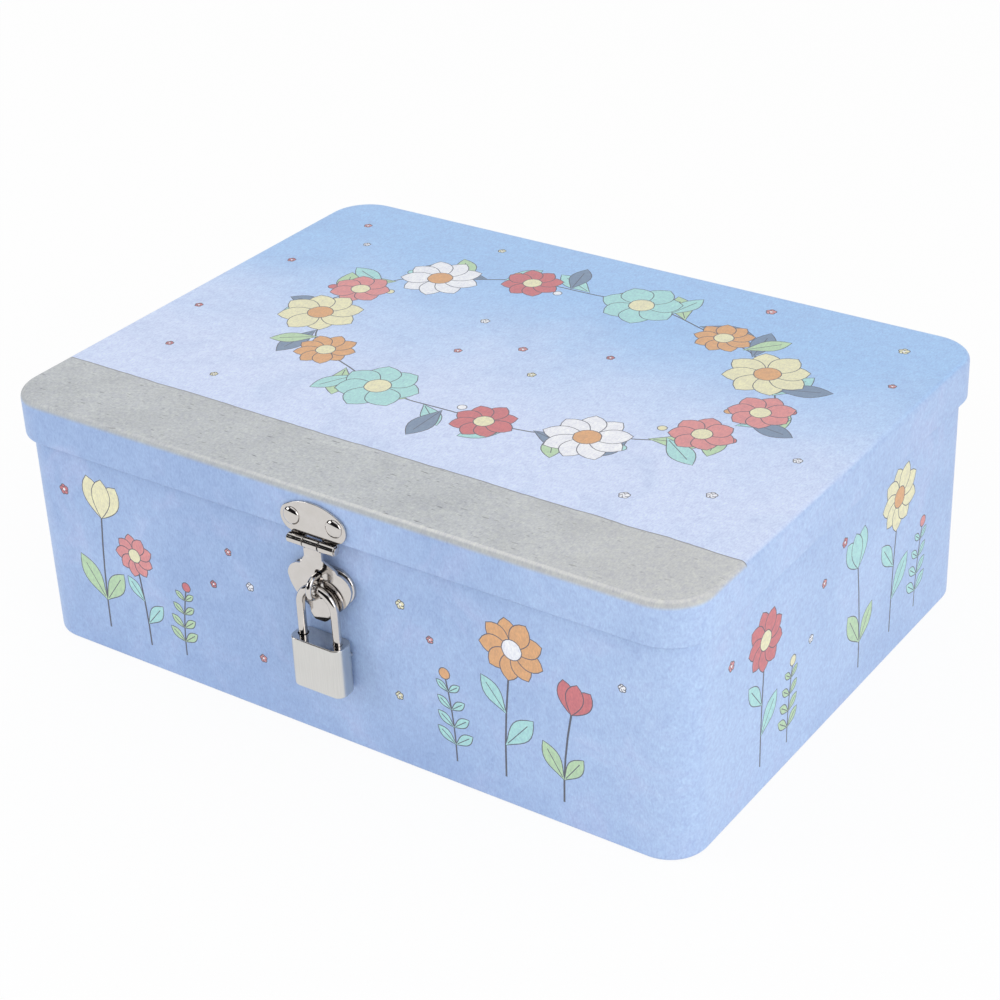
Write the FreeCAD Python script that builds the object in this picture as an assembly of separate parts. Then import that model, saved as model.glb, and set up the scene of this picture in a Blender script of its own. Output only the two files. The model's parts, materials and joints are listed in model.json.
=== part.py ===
import FreeCAD
import Part
import math
import os

# Lockable tin box: a printed tinplate body with an overlapping hinged lid, closed by a riveted
# hasp, a wire staple and a small padlock. Millimetres, +Z up, the front towards -Y.
# The origin is the middle of the underside.

# Tin: overall sizes and sheet forms
lid_width = 200.0
lid_depth = 147.5
tin_height = 70.0
lid_corner_radius = 12.0
lid_edge_radius = 1.6
skirt_height = 11.6
body_inset = 2.0
tinplate = 0.3
lid_hem_radius = 0.6
rim_curl_radius = 0.8
rim_gap = 0.2
base_edge_radius = 1.2
base_flange = 4.0
panel_gap = 0.3

# Barrel and plates shared by the hasp and the two back hinges
hardware_sheet = 0.65
pin_radius = 0.6
running_clearance = 0.06
knuckle_gap = 0.35
foot_gap = 0.15
barrel_length = 13.6
barrel_drop = 1.2
pin_head_radius = 0.95
pin_head_length = 0.35
roll_end_degrees = 110.0
plate_width = 19.2
plate_top_margin = 2.4
plate_shoulder_share = 0.40
plate_shoulder_height_share = 0.76
plate_waist_height_share = 0.40
plate_foot_share = 0.345
hinge_spacing = 110.0

# Rivets and their washers
rivet_spacing = 12.4
rivet_drop = 4.9
rivet_head_radius = 2.35
rivet_head_height = 0.95
rivet_shank_radius = 1.0
rivet_tail_radius = 1.5
rivet_tail_height = 0.4
rivet_clearance = 0.03
washer_radius = 2.2
washer_thickness = 0.4

# Lower leaf of a back hinge, below the barrel
body_leaf_length = 14.0
body_leaf_rivet_drop = 9.4

# Hasp leaf
leaf_width = 18.9
leaf_belly_drop = 7.6
lip_drop = 2.2
lip_degrees = 22.0
tongue_width = 7.5
tongue_end_width = 6.4
tongue_end_height = 1.8
leaf_gap = 0.25
neck_width = 5.2
neck_length = 2.4
neck_shoulder_gap = 0.25
bend_end_drop = 6.6
leaf_flare_share = 0.53
leaf_flare_drop_share = 0.345
leaf_notch_share = 0.59
leaf_notch_drop_share = 0.388
leaf_lobe_share = 0.89
leaf_lobe_drop_share = 0.458
leaf_widest_drop_share = 0.583
slot_side_clearance = 0.4
slot_end_clearance = 0.6

# Staple on the front wall
staple_drop = 11.6
staple_wire_radius = 0.75
eye_play = 0.85
hang_gap = 0.25
staple_base_width = 18.6
staple_base_end_radius = 4.9
staple_base_height = 1.2
staple_base_sheet = 0.5
staple_base_edge_radius = 0.9
backplate_width = 7.0
backplate_thickness = 0.6
backplate_corner_share = 0.45
staple_tail_radius = 1.1
staple_tail_height = 0.4

# Padlock: shackle and case
shackle_wire_radius = 1.1
shackle_leg_spacing = 10.3
shackle_gap = 0.25
shackle_clear_height = 12.7
shackle_travel = 5.0
toe_depth = 4.6
heel_depth = 9.7
case_width = 15.2
case_height = 13.6
case_depth = 6.4
case_corner_radius = 2.4
case_top_bevel = 0.3
case_bottom_bevel = 0.6
toe_bore_clearance = 0.3
heel_bore_clearance = 0.1
bore_end_room = 0.2

# Padlock: heel neck and its retaining pin
neck_radius = 0.7
retaining_pin_radius = 0.45
retaining_pin_gap = 0.1
retaining_pin_cover = 0.9
retaining_pin_drop = 4.0

# Padlock: latch, key plug and springs
latch_height = 1.2
latch_depth = 2.4
latch_length = 5.4
latch_engagement = 0.5
latch_cover = 0.7
latch_clearance = 0.1
latch_spring_room = 2.3
cam_offset = 0.85
cam_radius = 0.3
cam_reach = 0.65
plug_radius = 2.2
plug_offset = 0.8
plug_recess = 0.25
plug_clearance = 0.06
plug_top_gap = 0.4
keyway_width = 0.8
keyway_height = 3.2
keyway_depth = 7.0
wafer_count = 3
wafer_thickness = 0.45
wafer_pitch = 1.6
wafer_start = 2.2
wafer_width = 2.4
wafer_height = 3.6
wafer_clearance = 0.05
groove_depth = 0.4
groove_drop = 1.5
plug_pin_radius = 0.35
spring_wire_radius = 0.14
latch_spring_radius = 0.45
latch_spring_turns = 5
heel_spring_radius = 0.8
heel_spring_turns = 5
heel_spring_room = 3.0

# Extra length that carries every cut past the face it opens
overrun = 1.0

# Derived levels and planes
skirt_bottom = tin_height - skirt_height
body_corner_radius = lid_corner_radius - body_inset
core_x = lid_width / 2 - lid_corner_radius
core_y = lid_depth / 2 - lid_corner_radius
skirt_face = lid_depth / 2
wall_face = skirt_face - body_inset
knuckle_radius = pin_radius + running_clearance + hardware_sheet
axis_z = skirt_bottom - barrel_drop
axis_out = skirt_face + knuckle_radius
knuckle_length = barrel_length / 3
plate_top = tin_height - plate_top_margin
plate_foot = axis_z + knuckle_radius + foot_gap
rivet_z = plate_top - rivet_drop
staple_height = axis_z - staple_drop
leaf_length = staple_drop + leaf_belly_drop
lip_tip = axis_z - leaf_length - lip_drop
leaf_back = wall_face + staple_base_height + leaf_gap
leaf_front = leaf_back + hardware_sheet
shackle_out = leaf_front + shackle_gap + shackle_wire_radius
eye_radius = shackle_wire_radius + eye_play
staple_bend_radius = eye_radius + staple_wire_radius
apex_z = staple_height - eye_play + hang_gap
case_top = apex_z - shackle_wire_radius - shackle_clear_height
case_bottom = case_top - case_height
leg_x = shackle_leg_spacing / 2
arch_z = apex_z - leg_x
latch_top = case_top - latch_cover
latch_bottom = latch_top - latch_height
latch_nose_x = -leg_x + shackle_wire_radius - latch_engagement
latch_end_x = latch_nose_x + latch_length
cam_swing = cam_offset * math.sin(math.pi / 4)
latch_travel = 2 * cam_swing
plug_top = latch_bottom - plug_top_gap
plug_bottom = case_bottom + plug_recess
pin_level = case_top - retaining_pin_drop


def vec(x, y, z):
    return FreeCAD.Vector(x, y, z)


def on_circle(centre, radius, degrees):
    turn = math.radians(degrees)
    return (centre[0] + radius * math.cos(turn), centre[1] + radius * math.sin(turn))


def upright(a, b):
    # A drawn point (a, b) in the plane of a cross-section: a along X, b along Z
    return vec(a, 0, b)


def sideways(a, b):
    # A drawn point (a, b) in the side view of the front: a outwards, b along Z
    return vec(0, -a, b)


def level(a, b):
    return vec(a, b, 0)


def outline(start, moves, place):
    # A closed wire: each move is a line to one point or an arc through one point to another
    edges = []
    here = start
    for move in moves:
        end = move[-1]
        if len(move) == 1:
            edges.append(Part.LineSegment(place(*here), place(*end)).toShape())
        else:
            edges.append(Part.Arc(place(*here), place(*move[0]), place(*end)).toShape())
        here = end
    return Part.Wire(edges)


def face_of(start, moves, place):
    return Part.Face(outline(start, moves, place))


def joined(shapes):
    return shapes[0].multiFuse(shapes[1:]).removeSplitter()


def rod(radius, start, end):
    run = end - start
    return Part.makeCylinder(radius, run.Length, start, run)


def axis_rod(radius, low, high):
    return rod(radius, vec(low, -axis_out, axis_z), vec(high, -axis_out, axis_z))


def upright_rod(radius, x, low, high):
    return rod(radius, vec(x, -shackle_out, low), vec(x, -shackle_out, high))


def turned(shape, degrees):
    copy = shape.copy()
    copy.rotate(vec(0, 0, 0), vec(0, 0, 1), degrees)
    return copy


def moved(shape, x, y, z):
    copy = shape.copy()
    copy.translate(vec(x, y, z))
    return copy


def ring_from(section):
    # Carries an upright section round the tin: a quarter turn at each corner, a run along each side
    pieces = []
    corner = section.revolve(vec(0, 0, 0), vec(0, 0, 1), 90)
    places = [(core_x, core_y), (-core_x, core_y), (-core_x, -core_y), (core_x, -core_y)]
    for index, (x, y) in enumerate(places):
        pieces.append(moved(turned(corner, 90 * index), x, y, 0))
    for index, (x, y) in enumerate(places):
        before = places[index - 1]
        run = vec(x - before[0], y - before[1], 0)
        side = moved(turned(section, 90 * index), before[0], before[1], 0)
        pieces.append(side.extrude(run))
    return joined(pieces)


def rounded_plate(half_x, half_y, radius, low, high):
    corners = [(half_x, half_y), (-half_x, half_y), (-half_x, -half_y), (half_x, -half_y)]
    start = None
    moves = []
    for index, (x, y) in enumerate(corners):
        degrees = 90 * index
        centre = (x - math.copysign(radius, x), y - math.copysign(radius, y))
        first = on_circle(centre, radius, degrees)
        if start is None:
            start = first
        else:
            moves.append((first,))
        moves.append((on_circle(centre, radius, degrees + 45), on_circle(centre, radius, degrees + 90)))
    moves.append((start,))
    return moved(face_of(start, moves, level), 0, 0, low).extrude(vec(0, 0, high - low))


def core_plate(reach, low, high):
    return rounded_plate(core_x + reach, core_y + reach, reach, low, high)


def make_body_shell(drills):
    outer = body_corner_radius
    inner = outer - tinplate
    bend = base_edge_radius - tinplate
    foot_centre = (outer - base_edge_radius, base_edge_radius)
    curl_level = tin_height - tinplate - rim_gap - rim_curl_radius
    curl_centre = (outer - rim_curl_radius, curl_level)
    curl_bore = rim_curl_radius - tinplate
    flange_end = outer - base_flange
    start = (flange_end, 0)
    moves = [
        ((foot_centre[0], 0),),
        (on_circle(foot_centre, base_edge_radius, -45), (outer, base_edge_radius)),
        ((outer, curl_level),),
        (on_circle(curl_centre, rim_curl_radius, 90), on_circle(curl_centre, rim_curl_radius, 180)),
        (on_circle(curl_centre, rim_curl_radius, 225), on_circle(curl_centre, rim_curl_radius, 270)),
        (on_circle(curl_centre, curl_bore, 270),),
        (on_circle(curl_centre, curl_bore, 225), on_circle(curl_centre, curl_bore, 180)),
        (on_circle(curl_centre, curl_bore, 90), on_circle(curl_centre, curl_bore, 0)),
        ((inner, base_edge_radius),),
        (on_circle(foot_centre, bend, -45), on_circle(foot_centre, bend, -90)),
        ((flange_end, tinplate),),
        (start,),
    ]
    return ring_from(face_of(start, moves, upright)).cut(drills)


def make_bottom_panel():
    # The middle lies level with the flange it rests on; its edge is stepped up over that flange
    middle_reach = body_corner_radius - base_flange - panel_gap
    edge_reach = body_corner_radius - base_edge_radius
    middle = core_plate(middle_reach, 0, tinplate)
    edge = core_plate(edge_reach, tinplate, 2 * tinplate)
    hollow = core_plate(middle_reach - tinplate, tinplate, 2 * tinplate)
    return joined([middle, edge.cut(hollow)])


def make_lid_shell(drills):
    outer = lid_corner_radius
    inner = outer - tinplate
    bend = lid_edge_radius - tinplate
    top_centre = (outer - lid_edge_radius, tin_height - lid_edge_radius)
    hem_level = skirt_bottom + lid_hem_radius
    hem_centre = (outer - lid_hem_radius, hem_level)
    hem_bore = lid_hem_radius - tinplate
    start = (top_centre[0], tin_height)
    moves = [
        (on_circle(top_centre, lid_edge_radius, 45), (outer, top_centre[1])),
        ((outer, hem_level),),
        (on_circle(hem_centre, lid_hem_radius, -90), on_circle(hem_centre, lid_hem_radius, -180)),
        (on_circle(hem_centre, hem_bore, -180),),
        (on_circle(hem_centre, hem_bore, -90), on_circle(hem_centre, hem_bore, 0)),
        ((inner, top_centre[1]),),
        (on_circle(top_centre, bend, 45), on_circle(top_centre, bend, 90)),
        (start,),
    ]
    skirt = ring_from(face_of(start, moves, upright))
    top = core_plate(top_centre[0], tin_height - tinplate, tin_height)
    return joined([skirt, top]).cut(drills)


def knuckle_spans(outer_pair):
    # The barrel in thirds: the outer two belong to the upper plate, the middle one to the leaf
    half = barrel_length / 2
    third = knuckle_length / 2
    if outer_pair:
        return [(-half, -third - knuckle_gap / 2), (third + knuckle_gap / 2, half)]
    return [(-third + knuckle_gap / 2, third - knuckle_gap / 2)]


def plate_outline():
    height = plate_top - plate_foot
    shoulder = (plate_width * plate_shoulder_share, plate_foot + height * plate_shoulder_height_share)
    waist = (plate_width / 2, plate_foot + height * plate_waist_height_share)
    foot = (plate_width * plate_foot_share, plate_foot)
    start = (-foot[0], foot[1])
    moves = [
        (foot,),
        (waist, shoulder),
        ((0, plate_top), (-shoulder[0], shoulder[1])),
        ((-waist[0], waist[1]), start),
    ]
    return face_of(start, moves, upright)


def make_upper_plate():
    # Plate on the front of the lid's skirt, with two knuckles rolled outwards from its lower edge
    sheet = moved(plate_outline(), 0, -skirt_face, 0).extrude(vec(0, -hardware_sheet, 0))
    centre = (axis_out, axis_z)
    outer = knuckle_radius
    bore = knuckle_radius - hardware_sheet
    roll_end = roll_end_degrees
    start = (skirt_face, plate_foot + overrun)
    moves = [
        ((skirt_face, axis_z),),
        (on_circle(centre, outer, 270), on_circle(centre, outer, 360)),
        (on_circle(centre, outer, roll_end / 2), on_circle(centre, outer, roll_end)),
        (on_circle(centre, bore, roll_end),),
        (on_circle(centre, bore, roll_end / 2), on_circle(centre, bore, 0)),
        (on_circle(centre, bore, 270), on_circle(centre, bore, 180)),
        ((skirt_face + hardware_sheet, start[1]),),
        (start,),
    ]
    roll = face_of(start, moves, sideways)
    rolls = [moved(roll, low, 0, 0).extrude(vec(high - low, 0, 0)) for low, high in knuckle_spans(True)]
    holes = [rivet_hole(x, skirt_face, rivet_z) for x in rivet_places()]
    return joined([sheet] + rolls).cut(holes)


def plain_end(back, foot):
    return [((back, foot),), ((back + hardware_sheet, foot),)]


def lip_end(back, crease):
    # Side view of the leaf's lower end, bent outwards for a fingertip
    turn = math.radians(lip_degrees)
    tip = (back + lip_drop * math.tan(turn), crease - lip_drop)
    front_tip = (tip[0] + hardware_sheet * math.cos(turn), tip[1] + hardware_sheet * math.sin(turn))
    front_crease = crease + hardware_sheet * math.tan(turn / 2)
    return [((back, crease),), (tip,), (front_tip,), ((back + hardware_sheet, front_crease),)]


def bent_sheet(back, bend_end, end_moves):
    # Side view of a sheet that hangs from the barrel's middle and bends back to its own plane
    half = hardware_sheet / 2
    front = back + hardware_sheet
    bend_start = axis_z - knuckle_radius - neck_length
    start = (axis_out - half, axis_z - knuckle_radius + half)
    moves = [
        ((axis_out - half, bend_start),),
        ((back, bend_end),),
        *end_moves,
        ((front, bend_end),),
        ((axis_out + half, bend_start),),
        ((axis_out + half, start[1]),),
        (start,),
    ]
    return face_of(start, moves, sideways)


def middle_knuckle():
    low, high = knuckle_spans(False)[0]
    return axis_rod(knuckle_radius, low, high).cut(axis_rod(knuckle_radius - hardware_sheet, low, high))


def hung_leaf(back, end_moves, width, shape_outline):
    # The bent sheet, trimmed to the leaf's outline, with its knuckle
    side = bent_sheet(back, axis_z - bend_end_drop, end_moves)
    sheet = moved(side, -width / 2, 0, 0).extrude(vec(width, 0, 0))
    depth = axis_out + knuckle_radius
    trim = shape_outline.extrude(vec(0, -depth, 0))
    return joined([sheet.common(trim), middle_knuckle()])


def neck_moves():
    # From the knuckle's width, clear of the knuckles beside it, out to the neck's own width
    root = knuckle_spans(False)[0][1]
    shoulder = axis_z - knuckle_radius - neck_shoulder_gap
    bend_start = axis_z - knuckle_radius - neck_length
    half = neck_width / 2
    down = [((root, axis_z),), ((root, shoulder),), ((half, shoulder),), ((half, bend_start),)]
    up = [((-half, bend_start),), ((-half, shoulder),), ((-root, shoulder),), ((-root, axis_z),)]
    return down, up


def leaf_outline():
    half = leaf_width / 2
    down, up = neck_moves()
    flare = (half * leaf_flare_share, axis_z - leaf_length * leaf_flare_drop_share)
    notch = (half * leaf_notch_share, axis_z - leaf_length * leaf_notch_drop_share)
    lobe = (half * leaf_lobe_share, axis_z - leaf_length * leaf_lobe_drop_share)
    widest = (half, axis_z - leaf_length * leaf_widest_drop_share)
    side = on_belly(widest, (half + tongue_width / 2) / 2)
    root = on_belly(widest, tongue_width / 2)
    tip = (tongue_end_width / 2, lip_tip + tongue_end_height)
    lower = [
        (flare,),
        (notch,),
        (lobe, widest),
        (side, root),
        (tip,),
        ((0, lip_tip), (-tip[0], tip[1])),
        ((-root[0], root[1]),),
        ((-side[0], side[1]), (-widest[0], widest[1])),
        ((-lobe[0], lobe[1]), (-notch[0], notch[1])),
        ((-flare[0], flare[1]),),
    ]
    return face_of(up[-1][0], down + lower + up, upright)


def on_belly(widest, x):
    # A point of the round belly between the leaf's widest points, above its tongue
    depth = widest[1] - axis_z + leaf_length
    radius = (widest[0] ** 2 + depth ** 2) / (2 * depth)
    return (x, axis_z - leaf_length + radius - math.sqrt(radius ** 2 - x ** 2))


def make_hasp_leaf():
    leaf = hung_leaf(leaf_back, lip_end(leaf_back, axis_z - leaf_length), leaf_width, leaf_outline())
    half = staple_wire_radius + slot_side_clearance
    reach = staple_bend_radius + staple_wire_radius + slot_end_clearance - half
    low = (-half, staple_height - reach)
    high = (half, staple_height + reach)
    moves = [
        ((0, low[1] - half), (half, low[1])),
        (high,),
        ((0, high[1] + half), (-half, high[1])),
        (low,),
    ]
    slot = face_of(low, moves, upright).extrude(vec(0, -leaf_front - overrun, 0))
    return leaf.cut(slot)


def body_leaf_outline():
    # The upper plate's rounded outline, turned downwards, under a plain neck
    half = plate_width / 2
    foot = axis_z - body_leaf_length
    height = plate_top - plate_foot
    top = foot + height
    waist = (half, top - height * plate_waist_height_share)
    shoulder = (plate_width * plate_shoulder_share, top - height * plate_shoulder_height_share)
    hip = (plate_width * plate_foot_share, top)
    down, up = neck_moves()
    lower = [
        (hip,),
        (waist, shoulder),
        ((0, foot), (-shoulder[0], shoulder[1])),
        ((-waist[0], waist[1]), (-hip[0], hip[1])),
    ]
    return face_of(up[-1][0], down + lower + up, upright)


def make_body_leaf():
    end_moves = plain_end(wall_face, axis_z - body_leaf_length)
    leaf = hung_leaf(wall_face, end_moves, plate_width, body_leaf_outline())
    holes = [rivet_hole(x, wall_face, axis_z - body_leaf_rivet_drop) for x in rivet_places()]
    return leaf.cut(holes)


def make_pin():
    half = barrel_length / 2
    tip = half + pin_head_length
    shaft = axis_rod(pin_radius, -half, half)
    return joined([shaft, axis_rod(pin_head_radius, -tip, -half), axis_rod(pin_head_radius, half, tip)])


def rivet_places():
    return [-rivet_spacing / 2, rivet_spacing / 2]


def rivet_hole(x, face, z):
    outside = face + hardware_sheet + overrun
    inside = face - tinplate - washer_thickness - overrun
    return rod(rivet_shank_radius + rivet_clearance, vec(x, -outside, z), vec(x, -inside, z))


def make_rivet(x, face, z):
    # Domed head outside, tail spread against the washer inside
    grip = hardware_sheet + tinplate + washer_thickness
    head = hardware_sheet
    crown = (rivet_head_radius / 2, head + rivet_head_height * math.sqrt(3) / 2)
    tail = head - grip
    start = (0, head + rivet_head_height)
    moves = [
        (crown, (rivet_head_radius, head)),
        ((rivet_shank_radius, head),),
        ((rivet_shank_radius, tail),),
        ((rivet_tail_radius, tail),),
        ((rivet_shank_radius, tail - rivet_tail_height),),
        ((0, tail - rivet_tail_height),),
        (start,),
    ]
    half = face_of(start, moves, upright)
    solid = half.revolve(vec(0, 0, 0), vec(0, 0, 1), 360)
    solid.rotate(vec(0, 0, 0), vec(1, 0, 0), 90)
    return moved(solid, x, -face, z)


def make_washer(x, face, z):
    inside = face - tinplate
    near = vec(x, -inside, z)
    far = vec(x, -inside + washer_thickness, z)
    return rod(washer_radius, near, far).cut(rod(rivet_shank_radius + rivet_clearance, near, far))


def rivet_set(maker, face, z):
    return [maker(x, face, z) for x in rivet_places()]


def staple_leg_levels():
    return [staple_height - staple_bend_radius, staple_height + staple_bend_radius]


def staple_holes(clearance):
    inside = wall_face - tinplate - backplate_thickness - overrun
    outside = wall_face + staple_base_height + overrun
    radius = staple_wire_radius + clearance
    return [rod(radius, vec(0, -outside, z), vec(0, -inside, z)) for z in staple_leg_levels()]


def make_staple_loop():
    inside = wall_face - tinplate - backplate_thickness
    levels = staple_leg_levels()
    tail_end = inside - staple_tail_height
    legs = [rod(staple_wire_radius, vec(0, -shackle_out, z), vec(0, -inside, z)) for z in levels]
    tails = [rod(staple_tail_radius, vec(0, -inside, z), vec(0, -tail_end, z)) for z in levels]
    upper = vec(0, -shackle_out, levels[1])
    disc = Part.Face(Part.Wire(Part.makeCircle(staple_wire_radius, upper, vec(0, 1, 0))))
    bow = disc.revolve(vec(0, -shackle_out, staple_height), vec(1, 0, 0), 180)
    return joined(legs + tails + [bow])


def make_staple_base():
    # Pressed oval cup whose rim stands on the front wall: round ends joined by a straight run
    edge = staple_base_edge_radius
    bend = edge - staple_base_sheet
    outer = staple_base_end_radius
    high = staple_base_height
    centre = (outer - edge, high - edge)
    start = (0, high)
    moves = [
        ((centre[0], high),),
        (on_circle(centre, edge, 45), (outer, centre[1])),
        ((outer, 0),),
        ((outer - staple_base_sheet, 0),),
        ((outer - staple_base_sheet, centre[1]),),
        (on_circle(centre, bend, 45), (centre[0], high - staple_base_sheet)),
        ((0, high - staple_base_sheet),),
        (start,),
    ]
    section = face_of(start, moves, upright)
    reach = staple_base_width / 2 - outer
    pieces = []
    for degrees, x in ((-90, reach), (90, -reach)):
        side = moved(turned(section, degrees), x, 0, 0)
        pieces.append(side.revolve(vec(x, 0, 0), vec(0, 0, 1), 180))
        pieces.append(side.extrude(vec(-2 * x, 0, 0)))
    cup = joined(pieces)
    cup.rotate(vec(0, 0, 0), vec(1, 0, 0), 90)
    return moved(cup, 0, -wall_face, staple_height).cut(staple_holes(rivet_clearance))


def make_staple_backplate():
    inside = wall_face - tinplate
    half = backplate_width / 2
    reach = staple_bend_radius + half
    corner = backplate_width * backplate_corner_share
    plate = rounded_plate(half, reach, corner, 0, backplate_thickness)
    plate.rotate(vec(0, 0, 0), vec(1, 0, 0), 90)
    plate = moved(plate, 0, -inside + backplate_thickness, staple_height)
    return plate.cut(staple_holes(rivet_clearance))


def heel_end():
    return case_top - heel_depth


def toe_end():
    return case_top - toe_depth


def toe_notch():
    # Ramped notch on the toe's inner side: the latch's nose leaves it as the shackle rises
    surface = -leg_x + shackle_wire_radius
    floor = surface - latch_engagement - latch_clearance
    top = latch_top + latch_clearance
    ramp = shackle_travel / latch_travel
    low = latch_bottom - latch_clearance
    foot = low - ramp * (surface - floor + latch_clearance)
    side = shackle_wire_radius + overrun
    start = (floor, top)
    moves = [
        ((surface + latch_clearance, top),),
        ((surface + latch_clearance, foot),),
        ((floor, low),),
        (start,),
    ]
    return moved(face_of(start, moves, upright), 0, -shackle_out - side, 0).extrude(vec(0, 2 * side, 0))


def heel_groove():
    # Long waist on the heel that the retaining pin runs in
    high = pin_level + retaining_pin_radius + retaining_pin_gap
    low = high - shackle_travel - 2 * (retaining_pin_radius + retaining_pin_gap)
    outside = upright_rod(shackle_wire_radius + overrun, leg_x, low, high)
    return outside.cut(upright_rod(neck_radius, leg_x, low, high))


def make_shackle():
    toe = upright_rod(shackle_wire_radius, -leg_x, toe_end(), arch_z)
    heel = upright_rod(shackle_wire_radius, leg_x, heel_end(), arch_z)
    top = vec(leg_x, -shackle_out, arch_z)
    disc = Part.Face(Part.Wire(Part.makeCircle(shackle_wire_radius, top, vec(0, 0, 1))))
    arch = disc.revolve(vec(0, -shackle_out, arch_z), vec(0, -1, 0), 180)
    return joined([toe, heel, arch]).cut([toe_notch(), heel_groove()])


def latch_box(reach, low_x, high_x):
    # The latch's bar, or with a reach its channel
    width = latch_depth + 2 * reach
    corner = vec(low_x, -shackle_out - width / 2, latch_bottom - reach)
    return Part.makeBox(high_x - low_x, width, latch_height + 2 * reach, corner)


def retaining_pin_x():
    return leg_x + neck_radius + retaining_pin_gap + retaining_pin_radius


def retaining_pin_ends():
    back = shackle_out - case_depth / 2
    front = shackle_out + case_depth / 2 - retaining_pin_cover
    return -front, -back


def plug_pin_x():
    return -plug_offset - plug_radius + groove_depth - plug_clearance - plug_pin_radius


def back_pin(radius, x, z):
    front, back = retaining_pin_ends()
    return rod(radius, vec(x, front, z), vec(x, back, z))


def plug_pin_level():
    return plug_top - groove_drop


def make_padlock_case():
    block = rounded_plate(case_width / 2, case_depth / 2, case_corner_radius, case_bottom, case_top)
    block = moved(block, 0, -shackle_out, 0)
    rim = [edge for edge in block.Edges if edge.BoundBox.ZMin > case_top - case_top_bevel]
    block = block.makeFillet(case_top_bevel, rim)
    foot = [edge for edge in block.Edges if edge.BoundBox.ZMax < case_bottom + case_bottom_bevel]
    block = block.makeFillet(case_bottom_bevel, foot)
    toe_bore = upright_rod(
        shackle_wire_radius + toe_bore_clearance, -leg_x, toe_end() - bore_end_room, case_top + overrun)
    heel_bore = upright_rod(
        shackle_wire_radius + heel_bore_clearance, leg_x, heel_end() - heel_spring_room, case_top + overrun)
    plug_bore = upright_rod(plug_radius + plug_clearance, -plug_offset, case_bottom - overrun, latch_bottom)
    channel = latch_box(latch_clearance, -leg_x, latch_end_x + latch_spring_room)
    pins = [
        back_pin(retaining_pin_radius + rivet_clearance, retaining_pin_x(), pin_level),
        back_pin(plug_pin_radius + rivet_clearance, plug_pin_x(), plug_pin_level()),
    ]
    return block.cut([toe_bore, heel_bore, plug_bore, channel] + pins)


def make_latch_bolt():
    bar = latch_box(0, latch_nose_x, latch_end_x)
    slot_x = -plug_offset - cam_swing
    half = cam_radius + latch_clearance
    low = vec(slot_x - half, -shackle_out + cam_swing - half, latch_bottom - overrun)
    tall = overrun + cam_reach + latch_clearance - plug_top_gap
    return bar.cut(Part.makeBox(2 * half, latch_depth, tall, low))


def keyway():
    low = vec(-plug_offset - keyway_width / 2, -shackle_out - keyway_height / 2, plug_bottom - overrun)
    return Part.makeBox(keyway_width, keyway_height, keyway_depth + overrun, low)


def wafer(index, clearance):
    width = wafer_width + 2 * clearance
    tall = wafer_height + 2 * clearance
    low = plug_bottom + wafer_start + index * wafer_pitch - clearance
    corner = vec(-plug_offset - width / 2, -shackle_out - tall / 2, low)
    return Part.makeBox(width, tall, wafer_thickness + 2 * clearance, corner)


def make_key_plug():
    barrel = upright_rod(plug_radius, -plug_offset, plug_bottom, plug_top)
    cam = upright_rod(cam_radius, -plug_offset - cam_swing, plug_top, plug_top + cam_reach)
    cam = moved(cam, 0, cam_swing, 0)
    half = plug_pin_radius + plug_clearance
    low = plug_pin_level() - half
    high = plug_pin_level() + half
    groove = upright_rod(plug_radius + overrun, -plug_offset, low, high)
    waist = upright_rod(plug_radius - groove_depth, -plug_offset, low, high)
    slots = [wafer(index, wafer_clearance) for index in range(wafer_count)]
    return joined([barrel, cam]).cut([groove.cut(waist), keyway()] + slots)


def make_plug_wafers():
    return [wafer(index, 0).cut(keyway()) for index in range(wafer_count)]


def coil_spring(radius, length, turns):
    # Coil along +Z whose wire starts and ends a wire radius inside the given length
    rise = length - 2 * spring_wire_radius
    path = Part.makeHelix(rise / turns, rise, radius)
    disc = Part.makeCircle(spring_wire_radius, vec(radius, 0, 0), vec(0, 1, 0))
    coil = Part.Wire(path).makePipeShell([Part.Wire(disc)], True, True)
    return moved(coil, 0, 0, spring_wire_radius)


def make_heel_spring():
    coil = coil_spring(heel_spring_radius, heel_spring_room, heel_spring_turns)
    return moved(coil, leg_x, -shackle_out, heel_end() - heel_spring_room)


def make_latch_spring():
    coil = coil_spring(latch_spring_radius, latch_spring_room, latch_spring_turns)
    coil.rotate(vec(0, 0, 0), vec(0, 1, 0), 90)
    return moved(coil, latch_end_x, -shackle_out, latch_bottom + latch_height / 2)


def hinge_copies(shapes):
    # What is drawn at the front, turned to the back and set at the two hinge places
    return {
        side: [moved(turned(shape, 180), place, 0, 0) for shape in shapes]
        for side, place in (("left", -hinge_spacing / 2), ("right", hinge_spacing / 2))
    }


def both_hinges(shapes):
    copies = hinge_copies(shapes)
    return copies["left"] + copies["right"]


def lid_drills():
    front = rivet_set(rivet_hole, skirt_face, rivet_z)
    return front + both_hinges(front)


def body_drills():
    back = rivet_set(rivet_hole, wall_face, axis_z - body_leaf_rivet_drop)
    return staple_holes(rivet_clearance) + both_hinges(back)


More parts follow.
